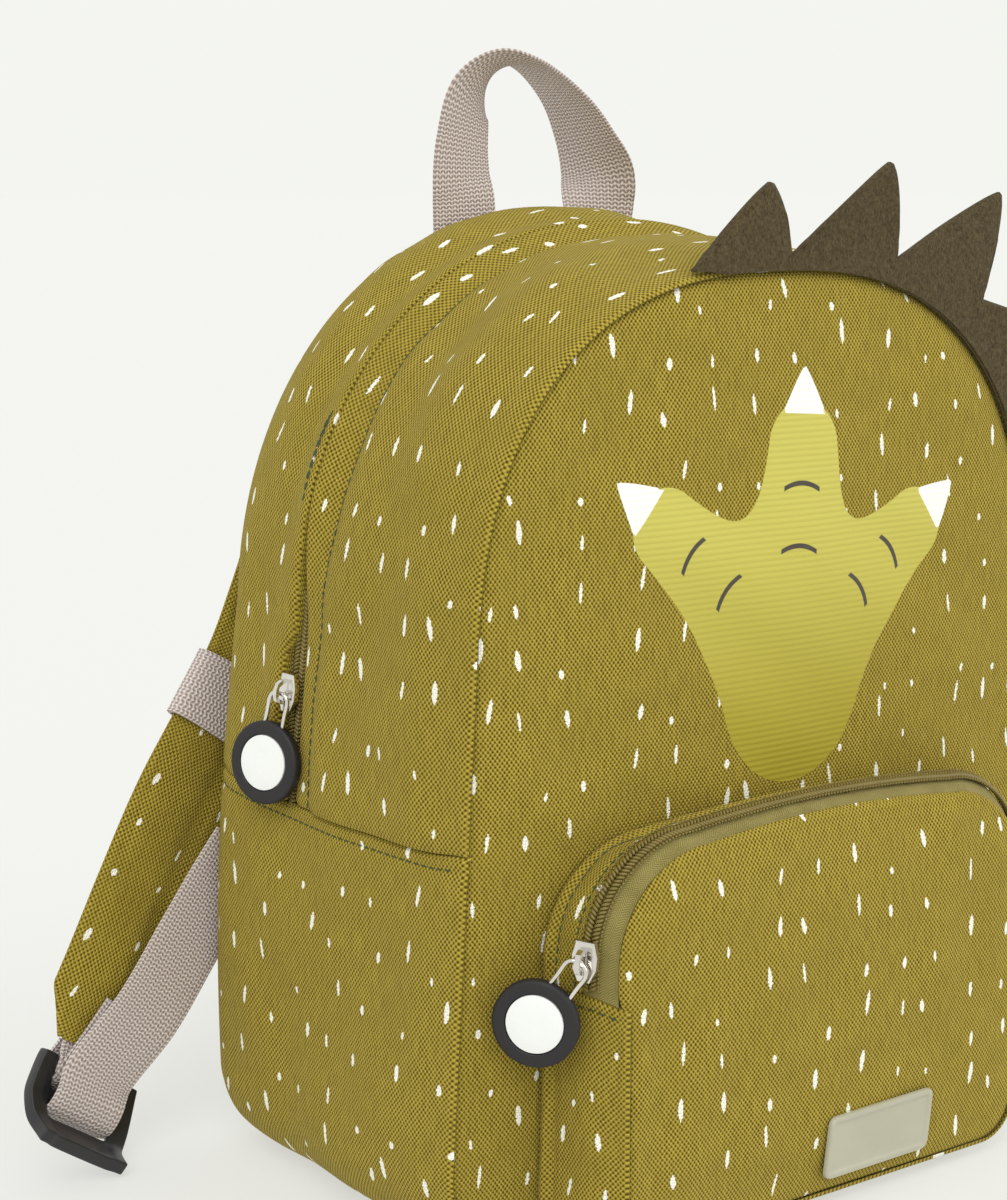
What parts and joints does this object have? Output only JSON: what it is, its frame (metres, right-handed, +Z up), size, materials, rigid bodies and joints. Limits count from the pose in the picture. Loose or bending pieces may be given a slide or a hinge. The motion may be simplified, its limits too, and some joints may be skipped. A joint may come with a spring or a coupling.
{
  "type": "children's backpack",
  "caption": "Small arched canvas backpack with a zipped gusset, zipped front pocket, felt spike crest, carrying loop and adjustable shoulder straps.",
  "frame": {"origin": "middle of the bag's base, on the floor that it stands on", "axes": "+Z up, the front with the pocket faces -Y, +X is to the right of someone who looks at the front"},
  "size_m": [0.3724, 0.188, 0.3419],
  "materials": {
    "canvas": "matte",
    "felt": "matte",
    "webbing": "matte",
    "zip_tape": "satin",
    "zip_coil": "satin",
    "buckle_plastic": "satin",
    "pull_rubber": "matte",
    "pull_face": "satin",
    "nickel": "polished",
    "label_rubber": "satin"
  },
  "bodies": {
    "bag": {"front_panel": "canvas", "back_panel": "canvas", "gusset_front": "canvas", "gusset_back": "canvas", "gusset_base": "canvas", "zip_tape": "zip_tape", "zip_coil": "zip_coil", "pocket_face": "canvas", "pocket_strip": "canvas", "pocket_band": "canvas", "pocket_zip_tape": "zip_tape", "pocket_zip_coil": "zip_coil", "pocket_label": "label_rubber", "felt_crest": "felt", "carry_loop": "webbing", "shoulder_strap_left": "canvas", "shoulder_strap_right": "canvas", "strap_keeper_left": "webbing", "strap_keeper_right": "webbing", "buckle_loop_left": "webbing", "buckle_loop_right": "webbing", "long_webbing_left": "webbing", "long_webbing_right": "webbing", "ladder_buckle_left": "buckle_plastic", "ladder_buckle_right": "buckle_plastic", "main_slider": "nickel", "pocket_slider": "nickel"},
    "main_pull": {"main_pull_wire": "nickel", "main_pull_disc": "pull_rubber", "main_pull_insert": "pull_face"},
    "pocket_pull": {"pocket_pull_wire": "nickel", "pocket_pull_disc": "pull_rubber", "pocket_pull_insert": "pull_face"}
  },
  "joints": [
    {"name": "main_pull_swing", "type": "hinge", "parent": "bag", "child": "main_pull", "pos_m": [-0.12084, 0.02072, 0.1525], "axis": [-0.3134, 0.9305, 0.1898], "range_deg": [0, 120]},
    {"name": "pocket_pull_swing", "type": "hinge", "parent": "bag", "child": "pocket_pull", "pos_m": [-0.09056, -0.08512, 0.0913], "axis": [-0.4863, 0.6635, 0.5685], "range_deg": [0, 120]}
  ]
}
